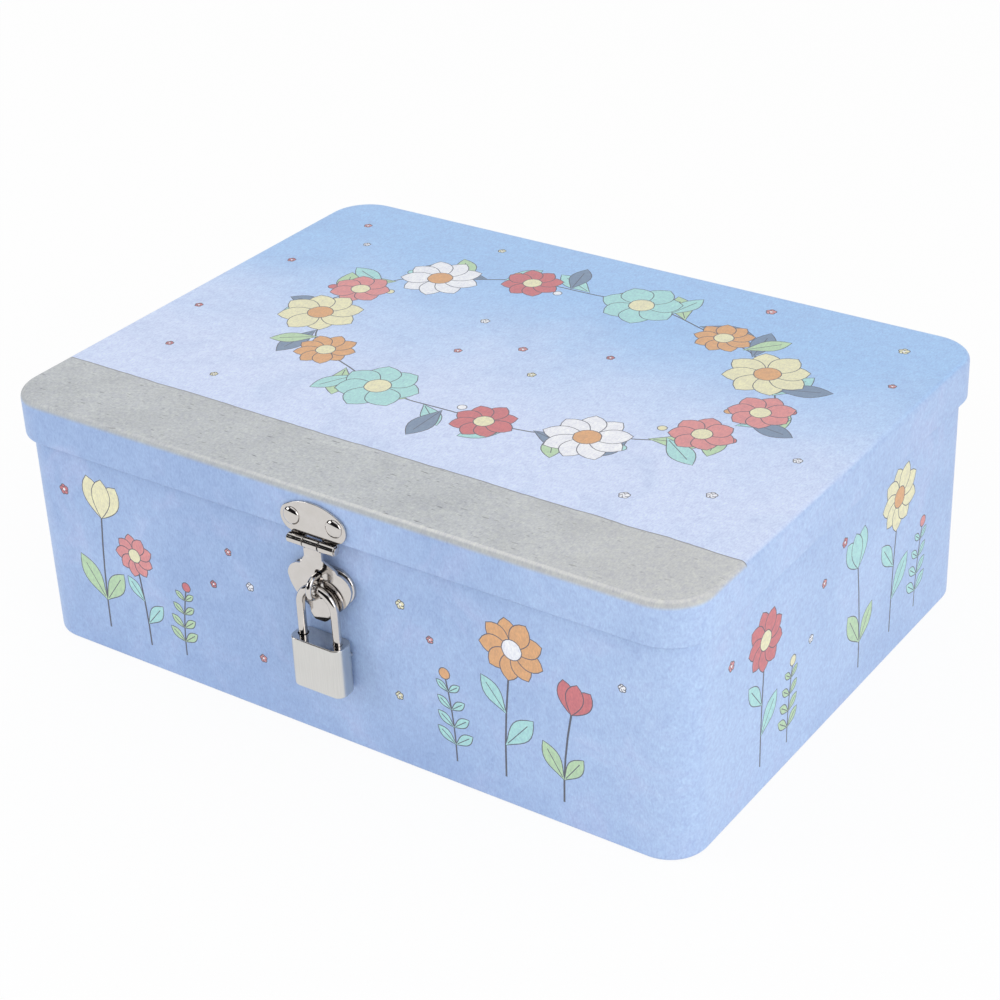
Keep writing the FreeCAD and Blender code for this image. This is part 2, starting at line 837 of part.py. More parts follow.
def make_pieces():
    body_rivet_z = axis_z - body_leaf_rivet_drop
    plate = make_upper_plate()
    pin = make_pin()
    upper_hinge = hinge_copies([plate])
    lower_hinge = hinge_copies([make_body_leaf()])
    pins = hinge_copies([pin])
    pieces = {
        "body_shell": [make_body_shell(body_drills())],
        "bottom_panel": [make_bottom_panel()],
        "staple_base": [make_staple_base()],
        "staple_loop": [make_staple_loop()],
        "staple_backplate": [make_staple_backplate()],
        "body_hinge_rivets": both_hinges(rivet_set(make_rivet, wall_face, body_rivet_z)),
        "body_hinge_washers": both_hinges(rivet_set(make_washer, wall_face, body_rivet_z)),
        "lid_shell": [make_lid_shell(lid_drills())],
        "lid_hinge_rivets": both_hinges(rivet_set(make_rivet, skirt_face, rivet_z)),
        "lid_hinge_washers": both_hinges(rivet_set(make_washer, skirt_face, rivet_z)),
        "hasp_plate": [plate],
        "hasp_rivets": rivet_set(make_rivet, skirt_face, rivet_z),
        "hasp_washers": rivet_set(make_washer, skirt_face, rivet_z),
        "hasp_pin": [pin],
        "hasp_leaf": [make_hasp_leaf()],
        "shackle": [make_shackle()],
        "padlock_case": [make_padlock_case()],
        "latch_bolt": [make_latch_bolt()],
        "latch_spring": [make_latch_spring()],
        "shackle_spring": [make_heel_spring()],
        "shackle_retaining_pin": [back_pin(retaining_pin_radius, retaining_pin_x(), pin_level)],
        "plug_retaining_pin": [back_pin(plug_pin_radius, plug_pin_x(), plug_pin_level())],
        "key_plug": [make_key_plug()],
        "plug_wafers": make_plug_wafers(),
    }
    for side in ("left", "right"):
        pieces["lid_hinge_leaf_" + side] = upper_hinge[side]
        pieces["body_hinge_leaf_" + side] = lower_hinge[side]
        pieces["hinge_pin_" + side] = pins[side]
    return pieces


def main():
    os.makedirs("parts", exist_ok=True)
    for name, solids in make_pieces().items():
        shape = solids[0] if len(solids) == 1 else Part.makeCompound(solids)
        shape.exportStep("parts/" + name + ".step")
        print(name, len(shape.Solids), shape.isValid(), round(shape.Volume, 3))


main()
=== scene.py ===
import bpy
import bmesh
import json
import math
import random
from mathutils import Matrix, Vector
from mathutils.geometry import delaunay_2d_cdt


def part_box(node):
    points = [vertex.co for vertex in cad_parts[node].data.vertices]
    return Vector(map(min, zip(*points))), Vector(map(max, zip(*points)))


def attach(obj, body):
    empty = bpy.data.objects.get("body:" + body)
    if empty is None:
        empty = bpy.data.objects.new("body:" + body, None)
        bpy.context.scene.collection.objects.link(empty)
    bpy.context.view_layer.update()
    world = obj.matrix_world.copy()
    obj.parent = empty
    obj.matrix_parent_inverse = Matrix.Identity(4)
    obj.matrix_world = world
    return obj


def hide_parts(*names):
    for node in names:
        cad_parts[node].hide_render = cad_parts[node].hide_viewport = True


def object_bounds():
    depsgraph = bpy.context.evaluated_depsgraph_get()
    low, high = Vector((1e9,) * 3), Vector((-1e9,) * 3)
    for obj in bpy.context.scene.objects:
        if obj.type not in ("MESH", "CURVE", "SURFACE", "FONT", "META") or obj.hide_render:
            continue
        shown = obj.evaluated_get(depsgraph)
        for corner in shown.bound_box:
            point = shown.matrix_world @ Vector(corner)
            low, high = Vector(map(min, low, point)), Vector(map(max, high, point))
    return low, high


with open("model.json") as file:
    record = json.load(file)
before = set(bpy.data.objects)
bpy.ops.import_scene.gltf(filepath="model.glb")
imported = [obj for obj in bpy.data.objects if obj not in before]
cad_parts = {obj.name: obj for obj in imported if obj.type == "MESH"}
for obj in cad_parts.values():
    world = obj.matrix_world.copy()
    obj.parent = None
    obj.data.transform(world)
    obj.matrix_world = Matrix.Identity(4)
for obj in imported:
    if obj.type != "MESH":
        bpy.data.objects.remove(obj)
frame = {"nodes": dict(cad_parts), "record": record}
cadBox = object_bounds()
mm = 0.001
lidHalf = cadBox[1].x
lidTop = cadBox[1].z / mm
scene = bpy.context.scene
bodyOf = {n: b for b, nodes in frame["record"]["behaviour"]["bodies"].items() for n in nodes}
print("frame loaded:", len(frame["nodes"]), "nodes")


# material helpers

def paint(red, green, blue):
    # a screen colour from 0 to 255 as the linear colour that a shader wants
    shares = [c / 255 for c in (red, green, blue)]
    return tuple(c / 12.92 if c <= 0.04045 else ((c + 0.055) / 1.055) ** 2.4 for c in shares) + (1.0,)


def put(tree, kind, sockets=None, **props):
    made = tree.nodes.new(kind)
    for key, value in props.items():
        setattr(made, key, value)
    for key, value in (sockets or {}).items():
        if isinstance(value, bpy.types.NodeSocket):
            tree.links.new(value, made.inputs[key])
        else:
            made.inputs[key].default_value = value
    return made


def calc(tree, operation, *values):
    return put(tree, "ShaderNodeMath", dict(enumerate(values)), operation=operation).outputs[0]


def swayed(tree, value, pattern, amount):
    # the value moved up and down by a pattern whose middle is one half
    return calc(tree, "MULTIPLY_ADD", calc(tree, "SUBTRACT", pattern, 0.5), amount, value)


def shared(tree, first, second, share):
    return calc(tree, "MULTIPLY_ADD", first, share, calc(tree, "MULTIPLY", second, 1 - share))


def blendColour(tree, share, under, over, mode="MIX"):
    mixed = put(tree, "ShaderNodeMix", {0: share, 6: under, 7: over}, data_type="RGBA", blend_type=mode)
    return mixed.outputs[2]


def ramp(tree, value, low, high, first=0.0, last=1.0):
    # eased from first to last while the value goes from low to high
    sockets = {"Value": value, "From Min": low, "From Max": high, "To Min": first, "To Max": last}
    return put(tree, "ShaderNodeMapRange", sockets, interpolation_type="SMOOTHSTEP").outputs["Result"]


def noise(tree, coords, scale=1.0, detail=3.0, rough=0.5, warp=0.0, stretch=None, turn=(0.0, 0.0, 0.0)):
    if stretch:
        mapping = {"Vector": coords, "Scale": stretch, "Rotation": turn}
        coords = put(tree, "ShaderNodeMapping", mapping).outputs[0]
    sockets = {"Vector": coords, "Scale": scale, "Detail": detail, "Roughness": rough, "Distortion": warp}
    return put(tree, "ShaderNodeTexNoise", sockets).outputs["Fac"]


def emptyMaterial(name):
    mat = bpy.data.materials.new(name)
    mat.use_nodes = True
    mat.node_tree.nodes.clear()
    return mat, mat.node_tree


def newMaterial(name):
    mat, tree = emptyMaterial(name)
    shader = put(tree, "ShaderNodeBsdfPrincipled")
    put(tree, "ShaderNodeOutputMaterial", {"Surface": shader.outputs[0]})
    coords = put(tree, "ShaderNodeTexCoord").outputs["Object"]
    return mat, tree, shader, coords


def raised(tree, shader, height, strength, depth):
    bump = put(tree, "ShaderNodeBump", {"Height": height, "Strength": strength, "Distance": depth * mm})
    tree.links.new(bump.outputs[0], shader.inputs["Normal"])


def lidLevel(depth):
    # the height that lies this many mm below the lid's top
    return (lidTop - depth) * mm


# grains of the print and the metals; a stretch holds the scales along x, y and z

grains = dict(
    cloud=dict(scale=24, detail=4, rough=0.55, warp=0.4),
    blot=dict(scale=55, detail=5, rough=0.6, warp=0.8),
    mottle=dict(scale=520, detail=5, rough=0.7, warp=0.8),
    fibre=dict(stretch=(2600, 1100, 1100), turn=(0.5, 0.6, 0.7), rough=0.6),
    edge=dict(scale=70),
    grit=dict(stretch=(900, 1300, 1300), detail=4, rough=0.7, warp=0.4),
    dash=dict(stretch=(330, 1500, 900), detail=1),
    streak=dict(detail=4, rough=0.6),
    patch=dict(scale=180),
)
grainSpan = (0.3, 0.7)     # where most of a grain's values lie


# walls' wash: the print's clouds and blots over painted light that rises from deep blue at the left
# to pale at the right front corner, painted shade towards the back, and the upper left darker
# here and below, places are in mm, and four values in brackets are a ramp: low, high, first, last

wallWashAndLight = dict(
    deepBlue=paint(154, 180, 223),
    skyBlue=paint(178, 202, 240),
    leftLight=0.27, rise=4.0,                          # painted light at the left end, and how late it rises to 1
    sideFront=-40, sideBack=75, backShade=0.3,         # painted shade: the sides darken towards the back between these places
    shadeLow=26, shadeHigh=60, leftShade=0.45,         # the upper left darkens between these heights
    cloudSway=1.5, blotSway=0.8,
    lilac=paint(182, 192, 232), lilacBlots=(0.5, 0.75, 0, 0.4),
)


def washAndLightWalls(tree, fromLeft, y, z, cloud, blot):
    look = wallWashAndLight
    # painted light that rises from the left end to the right, and painted shade towards the back
    rise = calc(tree, "POWER", fromLeft, look["rise"])
    light = calc(tree, "MULTIPLY_ADD", rise, 1 - look["leftLight"], look["leftLight"])
    backShade = ramp(tree, y, look["sideFront"] * mm, look["sideBack"] * mm, 0, look["backShade"])
    light = calc(tree, "SUBTRACT", light, backShade)
    upperShade = ramp(tree, z, look["shadeLow"] * mm, look["shadeHigh"] * mm, 0, look["leftShade"])
    fromRight = calc(tree, "SUBTRACT", 1.0, fromLeft)
    light = calc(tree, "SUBTRACT", light, calc(tree, "MULTIPLY", upperShade, fromRight))
    light = swayed(tree, light, cloud, look["cloudSway"])
    light = swayed(tree, light, blot, look["blotSway"])
    light = calc(tree, "MINIMUM", calc(tree, "MAXIMUM", light, 0.0), 1.0)
    washWithLight = blendColour(tree, light, look["deepBlue"], look["skyBlue"])
    return blendColour(tree, ramp(tree, blot, *look["lilacBlots"]), washWithLight, look["lilac"])


# lid's wash, pale in front and blue at the back

lidWash = dict(
    blue=paint(165, 202, 246),
    pale=paint(212, 225, 254),
    paleFront=-28, paleBack=52, cloudDrift=50,         # pale turns blue between these, moved by the clouds
    deepBlots=(0.45, 0.75, 0, 0.22),
    wallDepth=0.8, topDepth=0.1,                       # the walls' wash and painted light give way between these depths
)


def washLid(tree, washWithLight, y, z, cloud, blot):
    look = lidWash
    drift = swayed(tree, y, cloud, look["cloudDrift"] * mm)
    pale = ramp(tree, drift, look["paleFront"] * mm, look["paleBack"] * mm, 1, 0)
    top = blendColour(tree, pale, look["blue"], look["pale"])
    top = blendColour(tree, ramp(tree, blot, *look["deepBlots"]), top, wallWashAndLight["deepBlue"])
    onTop = ramp(tree, z, lidLevel(look["wallDepth"]), lidLevel(look["topDepth"]))
    return blendColour(tree, onTop, washWithLight, top)


# grey strip along the lid's front, with dark flecks and an ink line at its back; on the lid's rounded edge
# a painted highlight (the pale rim) over a band of painted shade

lidStrip = dict(
    edge=-49.2, edgeBlur=0.1, edgeWander=1.6,          # its back edge
    dark=paint(174, 178, 182),
    pale=paint(203, 207, 210),
    gritShare=0.65,                                    # fine grit against broad blots
    fleck=paint(112, 114, 118), flecks=(0.68, 0.73, 0, 0.7),
    foot=(0.2, 0.85, 1.25, 1.55), footBlur=0.6,        # its depth below the lid's top, from left to right
    turnFront=-67, turnBack=-60,                       # it goes round the right corner between these
    turnedFoot=0.65, turnedEdgeLight=0.15,                  # what is left of the foot, painted highlight and painted shade past the corner
    # the pale rim is a painted highlight along the lid's front edge, stronger towards the right
    rim=paint(217, 218, 218), highlightShares=(0.0, 0.8, 0.15, 0.9),
    highlightStart=0.01, highlightEnd=0.07,
    # painted shade on the lid's rounded edge below the painted highlight
    edgeShade=paint(175, 180, 184), edgeShadeShare=0.9,
    edgeShadeStart=0.2, edgeShadeEnd=0.65,
    right=paint(204, 204, 203), rightShares=(0.6, 1.0, 0, 0.5),
    line=paint(112, 110, 112), lineShare=0.75,
    lineCore=0.1, lineReach=0.24,
)


def layStrip(tree, washWithLight, coords, fromLeft, y, z, blot):
    look = lidStrip
    edge, blur = look["edge"] * mm, look["edgeBlur"] * mm
    wander = swayed(tree, y, noise(tree, coords, **grains["edge"]), look["edgeWander"] * mm)
    inFront = ramp(tree, wander, edge - blur, edge + blur, 1, 0)
    turn = (look["turnFront"] * mm, look["turnBack"] * mm, 1)
    depth = ramp(tree, fromLeft, *look["foot"])
    depth = calc(tree, "MULTIPLY", depth, ramp(tree, y, *turn, look["turnedFoot"]))
    aboveFoot = calc(tree, "MULTIPLY_ADD", depth, mm, z)
    onTop = ramp(tree, aboveFoot, lidLevel(look["footBlur"]), lidLevel(-look["footBlur"]))
    # grit and flecks
    grit = shared(tree, noise(tree, coords, **grains["grit"]), blot, look["gritShare"])
    grey = blendColour(tree, ramp(tree, grit, *grainSpan), look["dark"], look["pale"])
    flecks = ramp(tree, noise(tree, coords, **grains["dash"]), *look["flecks"])
    grey = blendColour(tree, flecks, grey, look["fleck"])
    # painted highlight and painted shade on the lid's rounded edge, and the strip lighter to the right
    toFront = ramp(tree, y, *turn, look["turnedEdgeLight"])
    onHighlight = ramp(tree, z, lidLevel(look["highlightStart"]), lidLevel(look["highlightEnd"]))
    onHighlight = calc(tree, "MULTIPLY", onHighlight, ramp(tree, fromLeft, *look["highlightShares"]))
    grey = blendColour(tree, calc(tree, "MULTIPLY", onHighlight, toFront), grey, look["rim"])
    inEdgeShade = ramp(tree, z, lidLevel(look["edgeShadeStart"]), lidLevel(look["edgeShadeEnd"]), 0, look["edgeShadeShare"])
    grey = blendColour(tree, calc(tree, "MULTIPLY", inEdgeShade, toFront), grey, look["edgeShade"])
    grey = blendColour(tree, ramp(tree, fromLeft, *look["rightShares"]), grey, look["right"])
    washWithLight = blendColour(tree, calc(tree, "MULTIPLY", inFront, onTop), washWithLight, grey)
    # ink line
    offLine = calc(tree, "ABSOLUTE", calc(tree, "SUBTRACT", wander, edge))
    onLine = ramp(tree, offLine, look["lineCore"] * mm, look["lineReach"] * mm, look["lineShare"], 0)
    return blendColour(tree, calc(tree, "MULTIPLY", onLine, onTop), washWithLight, look["line"])


# printed tin: the washes with their painted light and shade, motifs from the ink attribute,
# and a paper's mottle and fibres over both

paper = dict(
    inkCover=0.94,
    mottleSway=0.5, fibreSway=0.55, blueShare=0.6,     # blue takes only a share of the sway
    smooth=0.41, rough=0.52,
    coat=0.12, coatRough=0.3,
    relief=0.08, depth=0.05,
)


def makePrintedTin(name, isLid):
    mat, tree, shader, coords = newMaterial(name)
    x, y, z = put(tree, "ShaderNodeSeparateXYZ", {0: coords}).outputs
    cloud = noise(tree, coords, **grains["cloud"])
    blot = noise(tree, coords, **grains["blot"])
    mottle = noise(tree, coords, **grains["mottle"])
    fibre = noise(tree, coords, **grains["fibre"])
    fromLeft = calc(tree, "MULTIPLY_ADD", x, 0.5 / lidHalf, 0.5)
    # the walls' print with painted light from the right and painted shade towards the back
    washWithLight = washAndLightWalls(tree, fromLeft, y, z, cloud, blot)
    if isLid:
        washWithLight = washLid(tree, washWithLight, y, z, cloud, blot)
        washWithLight = layStrip(tree, washWithLight, coords, fromLeft, y, z, blot)
    ink = put(tree, "ShaderNodeAttribute", attribute_name="ink")
    cover = calc(tree, "MULTIPLY", ink.outputs["Alpha"], paper["inkCover"])
    colour = blendColour(tree, cover, washWithLight, ink.outputs["Color"])
    tone = swayed(tree, 1.0, mottle, paper["mottleSway"])
    tone = swayed(tree, tone, fibre, paper["fibreSway"])
    blueTone = calc(tree, "MULTIPLY_ADD", tone, paper["blueShare"], 1 - paper["blueShare"])
    tint = put(tree, "ShaderNodeCombineColor", {0: tone, 1: tone, 2: blueTone}).outputs[0]
    tree.links.new(blendColour(tree, 1.0, colour, tint, "MULTIPLY"), shader.inputs["Base Color"])
    worn = ramp(tree, mottle, *grainSpan, paper["smooth"], paper["rough"])
    tree.links.new(worn, shader.inputs["Roughness"])
    shader.inputs["Coat Weight"].default_value = paper["coat"]
    shader.inputs["Coat Roughness"].default_value = paper["coatRough"]
    raised(tree, shader, fibre, paper["relief"], paper["depth"])
    return mat


# metals: tones from dark to light and roughness from smooth to rough, along a stretched grain

metals = dict(
    bareTin=dict(light=paint(234, 234, 231), dark=paint(218, 219, 217), rough=0.46, smooth=0.34,
                 stretch=(1500, 90, 90)),
    nickel=dict(light=paint(209, 205, 202), dark=paint(204, 200, 196), rough=0.12, smooth=0.07,
                stretch=(300, 300, 300), relief=0.02),
    satinNickel=dict(light=paint(219, 218, 215), dark=paint(211, 210, 207), rough=0.4, smooth=0.3,
                     stretch=(3800, 3800, 160)),
    brass=dict(light=paint(222, 190, 120), dark=paint(188, 152, 84), rough=0.34, smooth=0.22,
               stretch=(900, 900, 160)),
    springSteel=dict(light=paint(170, 170, 172), dark=paint(120, 120, 124), rough=0.35, smooth=0.25,
                     stretch=(900, 900, 900)),
)
streakDepth = 0.02
streakShare = 0.5


def makeMetal(name, light, dark, rough, smooth, stretch, relief=0.05):
    mat, tree, shader, coords = newMaterial(name)
    streak = noise(tree, coords, stretch=stretch, **grains["streak"])
    patch = noise(tree, coords, **grains["patch"])
    colour = blendColour(tree, ramp(tree, streak, *grainSpan), dark, light)
    tree.links.new(colour, shader.inputs["Base Color"])
    worn = shared(tree, streak, patch, streakShare)
    tree.links.new(ramp(tree, worn, *grainSpan, smooth, rough), shader.inputs["Roughness"])
    shader.inputs["Metallic"].default_value = 1.0
    raised(tree, shader, streak, relief, streakDepth)
    return mat


finishes = dict(
    printedWalls=makePrintedTin("printedWalls", False),
    printedLid=makePrintedTin("printedLid", True),
)
for metal, look in metals.items():
    finishes[metal] = makeMetal(metal, **look)
print("finishes:", len(finishes))


# motif shapes, drawn in mm on the flat: each is a list of (points, colour) from the lowest to the topmost
# lengths in the flowers' dictionaries are shares of the flower's own size, turns are in degrees,
# and stems and ribs are so many ink lines wide

inks = dict(
    line=paint(84, 84, 94),
    cream=paint(236, 231, 190),
    salmon=paint(222, 142, 140),
    rose=paint(206, 112, 114),
    mint=paint(172, 222, 220),
    sage=paint(186, 216, 174),
    orange=paint(224, 168, 112),
    slate=paint(122, 142, 168),
    white=paint(244, 245, 250),
)
lineWidth = 0.24
wobble = random.Random(7)


def turnedTo(points, x, y, degrees=0.0):
    c = math.cos(math.radians(degrees))
    s = math.sin(math.radians(degrees))
    return [(x + px * c - py * s, y + px * s + py * c) for px, py in points]


def grown(points, width):
    # the outline moved outwards along its corner normals
    moved = []
    for i, here in enumerate(points):
        before = Vector(points[i - 1])
        after = Vector(points[(i + 1) % len(points)])
        along = (after - before).normalized()
        moved.append((here[0] + along.y * width, here[1] - along.x * width))
    return moved


def inked(points, colour):
    # a fill over a slightly larger dark shape, which shows as its drawn line
    return [(grown(points, lineWidth), inks["line"]), (points, inks[colour])]


petalLook = dict(belly=1.25, fullness=0.75, steps=9)


def petalShape(length, width, point=1.0):
    # narrow at its root, broadest past the middle; point above 1 sharpens the tip
    sides = []
    for i in range(1, petalLook["steps"]):
        t = i / petalLook["steps"]
        swell = math.sin(math.pi * t ** petalLook["belly"]) ** (petalLook["fullness"] * point)
        sides.append((width / 2 * swell, length * t))
    return [(0, 0)] + sides + [(0, length)] + [(-x, y) for x, y in reversed(sides)]


discLook = dict(sway=(0.96, 1.04), steps=18, berrySteps=12)


def discShape(radius, steps=discLook["steps"]):
    turns = [i * (2 * math.pi / steps) for i in range(steps)]
    return [(radius * math.cos(t) * wobble.uniform(*discLook["sway"]), radius * math.sin(t)) for t in turns]


def strokeShape(points, lines):
    left = []
    right = []
    for i, here in enumerate(points):
        before = Vector(points[max(i - 1, 0)])
        after = Vector(points[min(i + 1, len(points) - 1)])
        along = (after - before).normalized() * (lineWidth * lines) / 2
        left.append((here[0] - along.y, here[1] + along.x))
        right.append((here[0] + along.y, here[1] - along.x))
    return right + left[::-1]


daisyLook = dict(petalSway=(0.94, 1.04), spread=5.4, middle=0.3)


def daisy(x, y, radius, colour, middle="cream", petals=8, turn=0.0):
    shapes = []
    for i in range(petals):
        length = radius * wobble.uniform(*daisyLook["petalSway"])
        petal = petalShape(length, radius * daisyLook["spread"] / petals)
        shapes += inked(turnedTo(petal, x, y, turn + 360 * i / petals), colour)
    return shapes + inked(turnedTo(discShape(radius * daisyLook["middle"]), x, y), middle)


leafLook = dict(width=0.42, point=1.35, ribStart=0.08, ribEnd=0.8, ribLines=0.9)


def leafOn(x, y, length, turn, colour="sage"):
    outline = petalShape(length, length * leafLook["width"], leafLook["point"])
    rib = turnedTo([(0, length * leafLook["ribStart"]), (0, length * leafLook["ribEnd"])], x, y, turn)
    leaf = inked(turnedTo(outline, x, y, turn), colour)
    return leaf + [(strokeShape(rib, leafLook["ribLines"]), inks["line"])]


def berry(x, y, radius, colour):
    return inked(turnedTo(discShape(radius, discLook["berrySteps"]), x, y), colour)


blossomLook = dict(petals=5, petal=0.45, reach=0.55, turn=11, eye=0.3, steps=10)
strayRadii = (0.9, 1.4)     # mm


def blossom(x, y, radius, colour):
    # small flower of round petals with a pale eye
    look = blossomLook
    shapes = []
    for i in range(look["petals"]):
        petal = discShape(radius * look["petal"], look["steps"])
        at = turnedTo([(0, radius * look["reach"])], x, y, 360 / look["petals"] * i + look["turn"])[0]
        shapes += inked(turnedTo(petal, *at), colour)
    return shapes + [(turnedTo(discShape(radius * look["eye"], look["steps"]), x, y), inks["white"])]


def scattered(places, colours):
    shapes = []
    for i, (x, y) in enumerate(places):
        shapes += blossom(x, y, wobble.uniform(*strayRadii), colours[i % len(colours)])
    return shapes


def bentStem(x, y, height, lean, parts):
    # points up a stem that leans more and more towards its tip
    shares = [i / parts for i in range(parts + 1)]
    return turnedTo([(lean * height * t * t, height * t) for t in shares], x, y)


tulipLook = dict(
    parts=4, stemLines=2.2,
    leaves=((0.42, 32), (0.36, -36)),          # length and turn
    cup=0.36, sideWidth=0.52, sideTurn=24,
    frontLength=0.96, frontWidth=0.5,
)


def tulip(x, y, height, colour, lean=0.0):
    # a stem with two leaves under a cup of three petals
    look = tulipLook
    stem = bentStem(x, y, height, lean, look["parts"])
    shapes = [(strokeShape(stem, look["stemLines"]), inks["line"])]
    for length, turn in look["leaves"]:
        shapes += leafOn(*stem[1], height * length, turn)
    cup = height * look["cup"]
    tilt = -math.degrees(math.atan(2 * lean))
    for side in (-1, 1):
        petal = petalShape(cup, cup * look["sideWidth"])
        shapes += inked(turnedTo(petal, *stem[-1], tilt + look["sideTurn"] * side), colour)
    petal = petalShape(cup * look["frontLength"], cup * look["frontWidth"])
    return shapes + inked(turnedTo(petal, *stem[-1], tilt), colour)


stemmedLook = dict(
    parts=4, stemLines=2.2,
    leaves=((1, 0.34, -40), (2, 0.3, 38)),     # joint of the stem, length and turn
    head=0.24, petals=9, turn=12,
)


def stemmedDaisy(x, y, height, colour, lean=0.0, middle="cream"):
    look = stemmedLook
    stem = bentStem(x, y, height, lean, look["parts"])
    shapes = [(strokeShape(stem, look["stemLines"]), inks["line"])]
    for joint, length, turn in look["leaves"]:
        shapes += leafOn(*stem[joint], height * length, turn, "mint")
    return shapes + daisy(*stem[-1], height * look["head"], colour, middle, look["petals"], look["turn"])


twigLook = dict(parts=5, stemLines=1.8, leaf=0.26, leafLoss=0.03, leafTurn=52, berry=0.06)


def twig(x, y, height, lean, colour, fruit):
    # a stem with paired leaves that get smaller, and a berry at its tip
    look = twigLook
    stem = bentStem(x, y, height, lean, look["parts"])
    shapes = [(strokeShape(stem, look["stemLines"]), inks["line"])]
    for i, joint in enumerate(stem[1:-1]):
        size = height * (look["leaf"] - look["leafLoss"] * i)
        for side in (1, -1):
            shapes += leafOn(*joint, size, look["leafTurn"] * side, colour)
    return shapes + berry(*stem[-1], height * look["berry"], fruit)


# lid design: a loose oval wreath, and a few stray blossoms in and around it, in mm and degrees

wreath = dict(
    centre=(4, 13), radii=(65, 38),
    blooms=13, bloomRadius=11.2, smallBloom=0.74,
    bloomSway=2, bloomTurn=31, fewestPetals=7, petalCounts=3,
    petalColours=["salmon", "cream", "orange", "mint", "rose", "white"],
    leaf=14.5, leafSway=(0.8, 1.05), leafTurns=(-62, 58, 6), leafStep=5,
    leafColours=["sage", "mint", "slate"],
    berries=((-9, 1.1, 1.3, 4), (8, 0.9, 1.1, 2)),     # degrees, share of the oval, radius, colour's shift
    vineSteps=72, vineRun=6, vineSway=0.02, vineWave=0.9, vineLines=1.8,
    stray=[(-84, 58), (-76, 47), (-88, 28), (84, 60), (90, 41), (79, -28), (-82, -30), (-60, -38), (0, 13),
           (-18, 22), (22, 20), (10, 2), (-14, 4), (88, -4), (-91, -8), (-40, 62), (44, 64), (62, -38)],
    strayColours=["salmon", "white", "rose", "cream"],
)


def onOval(degrees, share=1.0):
    (cx, cy), (rx, ry) = wreath["centre"], wreath["radii"]
    angle = math.radians(degrees)
    return cx + rx * share * math.cos(angle), cy + ry * share * math.sin(angle)


def vineShapes():
    steps, run = wreath["vineSteps"], wreath["vineRun"]
    sways = [1 + wreath["vineSway"] * math.sin(i * wreath["vineWave"]) for i in range(steps)]
    vine = [onOval(360 / steps * i, sway) for i, sway in enumerate(sways)]
    runs = [vine[i:i + run + 1] for i in range(0, steps - run, run)]
    return [(strokeShape(points, wreath["vineLines"]), inks["line"]) for points in runs]


def lidMotifs():
    shapes = vineShapes()
    petals = wreath["petalColours"]
    leaves = wreath["leafColours"]
    step = 360 / wreath["blooms"]
    for i in range(wreath["blooms"]):
        here = step * (i + 0.5)
        for j, side in enumerate(wreath["leafTurns"]):
            at = onOval(here + (j - 1) * wreath["leafStep"])
            length = wreath["leaf"] * wobble.uniform(*wreath["leafSway"])
            shapes += leafOn(*at, length, here - 90 + side, leaves[(i + j) % len(leaves)])
        for degrees, share, radius, shift in wreath["berries"]:
            shapes += berry(*onOval(here + degrees, share), radius, petals[(i + shift) % len(petals)])
    for i in range(wreath["blooms"]):
        size = wreath["bloomRadius"] * (1.0 if i % 2 else wreath["smallBloom"])
        colour = petals[i % len(petals)]
        middle = "orange" if colour in ("cream", "white") else "cream"
        at = onOval(step * i + wobble.uniform(-wreath["bloomSway"], wreath["bloomSway"]))
        count = wreath["fewestPetals"] + i % wreath["petalCounts"]
        shapes += daisy(*at, size, colour, middle, count, wreath["bloomTurn"] * i)
    return shapes + scattered(wreath["stray"], wreath["strayColours"])


# wall design: rows of plants, each with its place from the middle of its side, the level of its foot and
# its height in mm, then what its function asks for

wallRows = dict(
    front=dict(
        plants=[(tulip, -74, 8, 33, "cream", 0.06),
                (stemmedDaisy, -60, 7, 26, "salmon", -0.08),
                (twig, -48, 8, 21, 0.12, "sage", "rose"),
                (twig, 36, 7, 24, -0.1, "mint", "orange"),
                (stemmedDaisy, 50, 8, 36, "orange", 0.08, "white"),
                (tulip, 66, 7, 25, "rose", 0.1)],
        stray=[(-30, 44), (-24, 36), (-36, 33), (22, 46), (30, 39), (82, 44), (-84, 46), (20, 20), (-22, 16)],
        strayColours=["salmon", "white", "rose", "cream"]),
    side=dict(
        plants=[(stemmedDaisy, -38, 8, 34, "rose", 0.05),
                (twig, -25, 7, 22, 0.1, "sage", "cream"),
                (tulip, 12, 7, 30, "mint", -0.08),
                (stemmedDaisy, 29, 8, 38, "cream", 0.06, "orange"),
                (twig, 43, 8, 24, 0.12, "mint", "salmon")],
        stray=[(-8, 42), (-14, 30), (2, 48), (-52, 44)],
        strayColours=["salmon", "white", "rose"]),
    back=dict(
        plants=[(twig, -18, 8, 26, -0.1, "sage", "rose"),
                (stemmedDaisy, 0, 7, 34, "salmon", 0.05),
                (tulip, 17, 8, 27, "orange", 0.08)],
        stray=[(-74, 26), (-64, 18), (70, 28), (60, 16), (30, 40)],
        strayColours=["white", "rose", "cream"]),
)


def wallMotifs(middles):
    # middles: distance along the unrolled wall to the middle of the left, front, right and back side
    left, front, right, back = middles
    shapes = []
    for middle, side in ((front, "front"), (left, "side"), (right, "side"), (back, "back")):
        row = wallRows[side]
        for plant, along, *rest in row["plants"]:
            shapes += plant(middle + along, *rest)
        shapes += scattered([(middle + along, up) for along, up in row["stray"]], row["strayColours"])
    return shapes


nearEnough = 1e-4     # points closer than this are one, mm


def inlaid(border, cuts, shapes):
    # the bordered area as triangles whose edges follow the motifs, each with the colour on top, or none
    coords = []
    edges = []
    faces = []
    for points in [border] + [points for points, colour in shapes]:
        first = len(coords)
        coords += [Vector(p) for p in points]
        faces.append(list(range(first, len(coords))))
    for start, end in cuts:
        edges.append((len(coords), len(coords) + 1))
        coords += [Vector(start), Vector(end)]
    verts, _, tris, _, _, owners = delaunay_2d_cdt(coords, edges, faces, 1, nearEnough)
    colours = [shapes[max(ids) - 1][1] if ids and max(ids) > 0 else None for ids in owners]
    return verts, tris, colours


